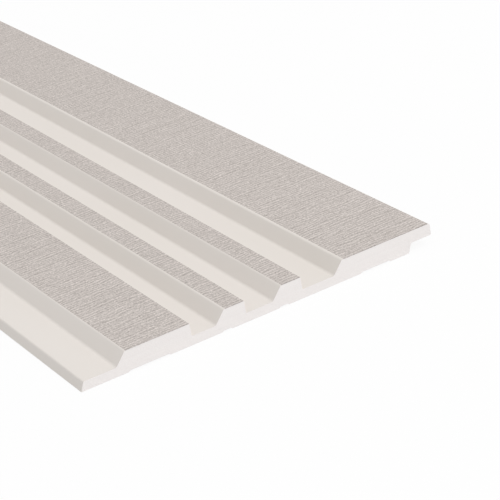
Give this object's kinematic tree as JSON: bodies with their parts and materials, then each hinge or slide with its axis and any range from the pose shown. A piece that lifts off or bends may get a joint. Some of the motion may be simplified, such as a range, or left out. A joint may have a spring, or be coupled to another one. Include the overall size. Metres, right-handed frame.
{
  "type": "polystyrene wall panel",
  "caption": "Flat extruded foam wall panel with raised slats, sloped and upright groove sides, a ledge along one edge and an overlapping lip along the other, to cover a wall.",
  "frame": {"origin": "centre of the panel's length and width, on the plane of its back", "axes": "+X across the panel from the ledge to the lip, +Y along its length, +Z out of the wall side through the face"},
  "size_m": [0.211, 2.7, 0.012],
  "materials": {
    "polystyrene": "satin cream",
    "linen_skin": "matte linen print"
  },
  "bodies": {
    "root": {"wall_panel": "polystyrene"}
  },
  "joints": []
}
